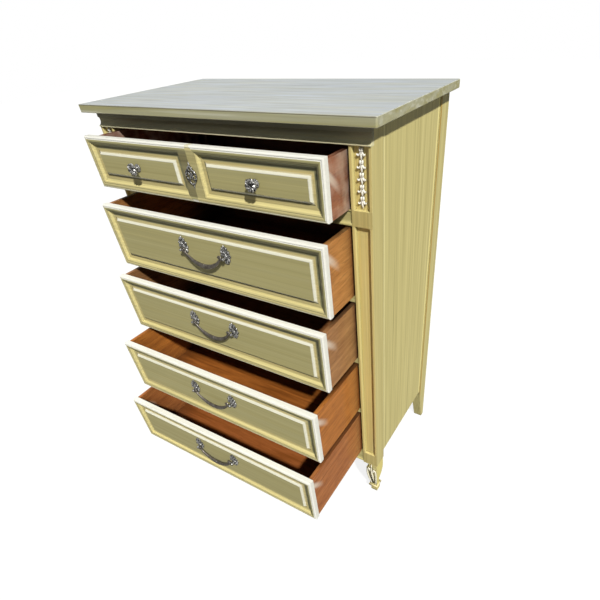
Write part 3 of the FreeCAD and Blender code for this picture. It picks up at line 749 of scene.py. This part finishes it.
# A thin dark sheet behind the scrolls darkens the grooves between them: partly glaze, partly painted
# shade.
shaded_ground_look = painted("carving_ground_glaze_and_shade", shade(84, 80, 54), hollow_glaze_and_shade, upright_grain)
ground_outline = [(17.5, 41), (41, 41), (41.4, 62), (41.4, 112), (37, 126), (24, 136), (12, 131),
                  (6.5, 120), (4, 102), (7, 80), (13, 58)]
ankle_inner, ankle_outer, ankle_back = 11, 42, -31
collar_rings = [(19, 0.2), (20.5, 1.8), (25.5, 2.4), (29, 1.2), (31.5, -0.6), (24, -1.2)]
for side, name in ((-1, "left_front_foot"), (1, "right_front_foot")):
    finish_nodes(foot_look, [name])
    low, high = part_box(name)
    inner_x = low.x if side == 1 else high.x

    def on_front(across, up, out):
        return Vector((inner_x + side * across * millimetre, low.y - out * millimetre,
                       up * millimetre))

    shape = bmesh.new()
    for run in scroll_runs:
        add_rod(shape, on_front, run, squash=0.75)
    add_leaf(shape, on_front, [(20.6, 150, 0.4, 2.2), (20.6, 138, 1.2, 3.0), (20.6, 127, 1.2, 1.9),
                               (20.8, 114, 1.4, 3.4), (22.4, 98, 1.6, 4.6), (25.6, 78, 1.2, 3.6),
                               (29.4, 54, 0.4, 1.0)], 3.2)
    finished(name + "_scrolls", shape, scroll_look, "case")

    shape = bmesh.new()
    add_rings(shape, [[on_front(across, up, out) for across, up in ground_outline]
                      for out in (-0.6, 0.35)])
    finished(name + "_sunk_ground", shape, shaded_ground_look, "case", 0)

    shape = bmesh.new()
    loops = []
    for up, out in collar_rings:
        near, far, back = ankle_inner - out, ankle_outer + out, ankle_back - out
        corners = ((near, out), (far, out), (far, back), (near, back))
        loops.append([shape.verts.new(on_front(across, up, proud)) for across, proud in corners])
    for first, second in zip(loops, loops[1:] + loops[:1]):
        for index in range(4):
            after = (index + 1) % 4
            shape.faces.new((first[index], first[after], second[after], second[index]))
    finished(name + "_collar", shape, collar_look, "case", 0)


# The pulls: cast and darkened metal, rubbed bright on the high places, with painted highlights on their
# edges and bright spots. Each pair of shell-edged plates is pinned to the drawer front, and the bail hangs
# from the two posts in their middles.
tarnish_and_shade = shade(14, 12, 10)


def make_metal(name, bright, dark, arris, spot_size, contrast):
    """Cast metal in bright and dark spots, the bright ones partly painted glints; darker in its tarnished
    hollows, deepened as painted shade; bright on its edges, partly wear and partly a painted highlight.
    """
    look = bpy.data.materials.new(name)
    look.use_nodes = True
    tree = look.node_tree
    body = tree.nodes["Principled BSDF"]
    place = place_node(tree, "ShaderNodeTexCoord").outputs["Object"]
    deep = place_node(tree, "ShaderNodeGroup", {"Reach": 0.006}, node_tree=hollows).outputs
    edge = place_node(tree, "ShaderNodeGroup", {"Radius": 0.0009}, node_tree=arrises).outputs
    mottle = place_node(tree, "ShaderNodeTexNoise", {"Vector": place, "Scale": 1 / spot_size,
                                                     "Detail": 2}).outputs[0]
    tone = blend_colour(tree, between(tree, mottle, 0.5 - contrast, 0.5 + contrast), bright, dark)
    tone = blend_colour(tree, edge["Edge"], tone, arris)
    tone = blend_colour(tree, deep["Depth"], tone, tarnish_and_shade)
    tree.links.new(tone, body.inputs["Base Color"])
    tree.links.new(between(tree, mottle, 0.3, 0.7, 0.3, 0.5), body.inputs["Roughness"])
    relief = place_node(tree, "ShaderNodeBump", {"Height": mottle, "Strength": 0.5,
                                                 "Distance": 0.0008, "Normal": edge["Normal"]})
    tree.links.new(relief.outputs[0], body.inputs["Normal"])
    body.inputs["Metallic"].default_value = 0.6
    return look


cast_metal = make_metal("cast_metal", shade(206, 206, 204), shade(24, 22, 20), shade(232, 232, 230),
                        0.0026, 0.08)
bail_metal = make_metal("bail_metal", shade(146, 140, 132), shade(78, 72, 64), shade(208, 204, 196),
                        0.009, 0.3)


def add_plate(shape, place, outline, height, spokes, rings=12):
    """A cast plate: outline gives its rim and height its relief, both for a turn from 0 to 1."""
    face, rim = [], []
    for ring_number in range(1, rings + 1):
        share = ring_number / rings
        row = []
        for spoke in range(spokes):
            turn = spoke / spokes
            across, up = outline(turn)
            row.append(shape.verts.new(place(across * share, up * share, height(turn, share))))
        face.append(row)
    middle = shape.verts.new(place(0, 0, height(0, 0)))
    under = [shape.verts.new(place(*outline(spoke / spokes), 0)) for spoke in range(spokes)]
    for spoke in range(spokes):
        after = (spoke + 1) % spokes
        shape.faces.new((middle, face[0][spoke], face[0][after]))
        for inner, outer in zip(face, face[1:]):
            shape.faces.new((inner[spoke], outer[spoke], outer[after], inner[after]))
        shape.faces.new((face[-1][spoke], under[spoke], under[after], face[-1][after]))
    shape.faces.new(list(reversed(under)))


plate_lobes = 11
plate_half = (18.5, 29.0)
plate_sink = 3.0
boss_share = 0.4
pull_spacing = 152.0
pivot_drop = 10.0
pivot_out = 13.0
bail_end = 66.0
bail_sag = 34.0
bail_radius = (bail_end ** 2 + bail_sag ** 2) / (2 * bail_sag)
bail_steps = 12


def plate_rim(turn):
    """A pointed oval with a scalloped edge, one scallop to each lobe of the shell."""
    angle = 2 * math.pi * turn + math.pi / 2
    lobe = abs(math.cos(plate_lobes * math.pi * turn))
    scallop = 1 - 0.2 * (1 - lobe) - 0.1 * abs(math.sin(2 * angle))
    return plate_half[0] * scallop * math.cos(angle), plate_half[1] * scallop * math.sin(angle)


def plate_relief(turn, share):
    """A domed boss in the middle, and one swelling rib to each lobe round it."""
    if share < boss_share:
        return 3.4 + 3.0 * math.sqrt(1 - (share / boss_share) ** 2)
    rib = abs(math.cos(plate_lobes * math.pi * turn))
    swell = math.sin(math.pi * min((share - boss_share) / (1 - boss_share), 1)) ** 0.6
    return 0.6 + 4.6 * rib ** 1.5 * swell


for number in (2, 3, 4, 5):
    hinge = [joint for joint in frame["joints"] if joint["name"] == "bail_%d_swing" % number][0]
    pivot = Vector(hinge["pos_m"])
    seat_y = pivot.y + pivot_out * millimetre
    shape = bmesh.new()
    for side in (-1, 1):
        def on_front(across, up, out):
            return Vector(((side * pull_spacing / 2 + across) * millimetre, seat_y - out * millimetre,
                           pivot.z + (pivot_drop + up) * millimetre))

        def on_plate(across, up, out):
            return on_front(across, up - plate_sink, out)

        add_plate(shape, on_plate, plate_rim, plate_relief, plate_lobes * 8)
        add_rod(shape, lambda across, up, out: on_front(across, out - pivot_drop, up),
                [(0, 0, 0, 4.4), (0, 3, 0, 4.4), (0, 7, 0, 3.2), (0, 10, 0, 4.2), (0, 13, 0, 4.5),
                 (0, 16, 0, 3.8), (0, 17.8, 0, 1.5)], steps=3)
    plates = finished("drawer_%d_plates" % number, shape, cast_metal,
                      "drawer_%d" % number)
    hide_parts("drawer_%d_pull_plates" % number)

    def on_bail(across, up, out):
        return Vector((across * millimetre, pivot.y - out * millimetre, pivot.z + up * millimetre))

    shape = bmesh.new()
    run = []
    for step in range(-bail_steps, bail_steps + 1):
        across = bail_end * step / bail_steps
        up = bail_radius - bail_sag - math.sqrt(bail_radius ** 2 - across ** 2)
        run.append((across, up, 0, 3.2 + 3.8 * math.cos(math.pi / 2 * step / bail_steps)))
    add_rod(shape, on_bail, run, sides=16, steps=2, squash=0.74)
    for hand in (-1, 1):
        add_rod(shape, on_bail, [(hand * 66, -0.5, 0, 3.0), (hand * 69, 2.5, 0, 3.2),
                                 (hand * 67, 6.2, 0, 2.9), (hand * 62, 6.4, 0.6, 2.5),
                                 (hand * 60, 2.6, 0.8, 2.1), (hand * 62.4, 1.0, 0.8, 1.6)])
        add_rod(shape, lambda across, up, out: on_bail(up, out, across),
                [(0, hand * 64.5, 0, 4.4), (0, hand * 68, 0, 4.6), (0, hand * 71.2, 0, 4.3)])
        add_leaf(shape, on_bail, [(hand, 2.4 - bail_sag, 3.0, 1.2), (hand * 5, 2.6 - bail_sag, 3.2, 2.6),
                                  (hand * 10, 1.4 - bail_sag, 3.2, 2.8),
                                  (hand * 16, 2.4 - bail_sag, 2.6, 0.7)], 1.6, 1.5)
    add_leaf(shape, on_bail, [(0, 6.6 - bail_sag, 2.2, 1.0), (0, 3.4 - bail_sag, 3.2, 2.4),
                              (0, -1.6 - bail_sag, 3.2, 2.0), (0, -5.4 - bail_sag, 2.4, 0.6)], 1.8, 1.5)
    bail = finished("drawer_%d_hanging_bail" % number, shape, bail_metal,
                    "bail_%d" % number)
    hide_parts("drawer_%d_bail" % number)


# The top drawer's knobs and keyhole plate, cast in the same dark metal. The knobs are swirled
# rosettes on a waisted stem, and the keyhole plate is open scrollwork round a small flower.
knob_half = 16.5
knob_depth = 24.0
knob_ropes = 7
knob_eye = 0.26


def knob_rim(turn):
    """A circle that dips a little between one rope of the knob and the next."""
    angle = 2 * math.pi * turn
    wave = 1 - 0.08 * (1 + math.cos(knob_ropes * angle)) / 2
    return knob_half * wave * math.cos(angle), knob_half * wave * math.sin(angle)


def knob_relief(turn, share):
    """A deep round eye in the middle of a thick ring of slanting ropes."""
    if share < knob_eye:
        return knob_depth - 8.4 + 1.2 * math.cos(math.pi * share / knob_eye)
    ring = math.sin(math.pi * min(1, (share - knob_eye) / 0.78)) ** 0.5
    swirl = math.cos(2 * math.pi * (knob_ropes * turn + 1.4 * share))
    return knob_depth - 9 + 6.4 * ring + 2.4 * swirl * ring


low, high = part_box("drawer_1_front")
knob_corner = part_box("drawer_1_knobs")[1]
knob_x = knob_corner.x / millimetre - knob_half
middle_z = (low.z + high.z) / 2
field_y = knob_corner.y
shape = bmesh.new()
for side in (-1, 1):
    def on_front(across, up, out):
        return Vector(((side * knob_x + across) * millimetre, field_y - out * millimetre,
                       middle_z + up * millimetre))

    add_plate(shape, lambda across, up, out: on_front(across, up, max(out, knob_depth - 10)),
              knob_rim, knob_relief, 64)
    add_rod(shape, lambda across, up, out: on_front(across, out, up),
            [(0, 0, 0, 10), (0, 2.2, 0, 9.6), (0, 4.5, 0, 5.6), (0, 9, 0, 4.6), (0, 13, 0, 6.4),
             (0, 15.5, 0, 12.5)], sides=24, steps=3)
knobs = finished("drawer_1_rosette_knobs", shape, cast_metal, "drawer_1")
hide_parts("drawer_1_knobs")

stile_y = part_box("keyhole_plate")[1].y


def on_stile(across, up, out):
    return Vector((across * millimetre, stile_y - out * millimetre, middle_z + up * millimetre))


shape = bmesh.new()
for hand in (-1, 1):
    add_rod(shape, on_stile, [(hand * 1.5, 21, 1.2, 1.1), (hand * 6, 18, 1.6, 1.6),
                              (hand * 8, 13, 1.8, 1.9), (hand * 13, 9, 2.0, 2.1),
                              (hand * 16, 1, 2.0, 2.2), (hand * 14, -8, 2.0, 2.1),
                              (hand * 9, -14, 1.8, 1.9), (hand * 6, -19, 1.6, 1.5),
                              (hand * 1.5, -21, 1.2, 1.1)])
    add_rod(shape, on_stile, [(hand * 15, 3, 1.6, 1.6), (hand * 11, 7, 1.8, 1.6),
                              (hand * 6.5, 6, 2.0, 1.7), (hand * 6.5, 1, 2.0, 1.7)])
    add_rod(shape, on_stile, [(hand * 14, -6, 1.6, 1.6), (hand * 10, -9, 1.8, 1.6),
                              (hand * 5.5, -8, 2.0, 1.7), (hand * 4, -4, 2.0, 1.6)])
    add_rod(shape, on_stile, [(hand * 1, 10, 1.6, 1.3), (hand * 5, 13, 1.8, 1.5),
                              (hand * 3.4, 18, 1.8, 1.4), (0, 20, 1.6, 1.2)])
add_leaf(shape, on_stile, [(0, 18, 0.6, 1.4), (0, 23, 0.8, 2.8), (0, 27, 0.6, 1.8),
                           (0, 31, 0, 0.6)], 2.2)
add_leaf(shape, on_stile, [(0, -17, 0.6, 1.6), (0, -22, 0.8, 3.4), (0, -26, 0.6, 2.2),
                           (0, -31, 0, 0.6)], 2.2)
petals = 6
for petal in range(petals):
    angle = 2 * math.pi * petal / petals
    middle_line = [(away * math.sin(angle), away * math.cos(angle), 1.4, half)
                   for away, half in ((0.6, 1.0), (3.2, 2.2), (5.6, 2.2), (7.4, 0.7))]
    add_leaf(shape, on_stile, middle_line, 1.8)
keyhole = finished("keyhole_scrollwork", shape, cast_metal, "drawer_1")
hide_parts("keyhole_plate")
